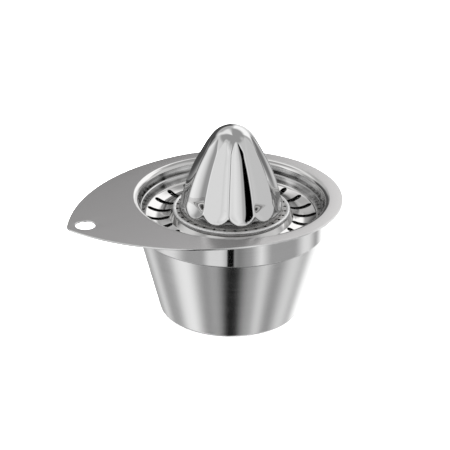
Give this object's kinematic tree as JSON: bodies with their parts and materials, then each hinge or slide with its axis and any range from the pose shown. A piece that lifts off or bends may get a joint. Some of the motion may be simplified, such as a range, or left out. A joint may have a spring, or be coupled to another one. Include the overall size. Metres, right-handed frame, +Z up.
{
  "type": "citrus press juicer",
  "caption": "Manual citrus press of pressed steel: juice bowl, lift-off strainer plate with a teardrop hanging handle, and a fluted reaming cone.",
  "frame": {"origin": "on the bowl's axis, on the plane that the bowl stands on", "axes": "+Z up along the axis of the bowl and cone; the handle points along -X; mirror-symmetric about the XZ plane"},
  "size_m": [0.1814, 0.14, 0.1253],
  "materials": {
    "bowl_brushed": "stainless steel, brushed round the bowl",
    "plate_satin": "stainless steel, satin flange and handle, mirror-polished well",
    "cone_polished": "stainless steel, mirror polished"
  },
  "bodies": {
    "bowl": {"juice_bowl": "bowl_brushed"},
    "insert": {"strainer_plate": "plate_satin", "reaming_cone": "cone_polished"}
  },
  "joints": [
    {"name": "insert_lift", "type": "slide", "parent": "bowl", "child": "insert", "axis": [0, 0, 1], "range_m": [0, 0.08]}
  ]
}
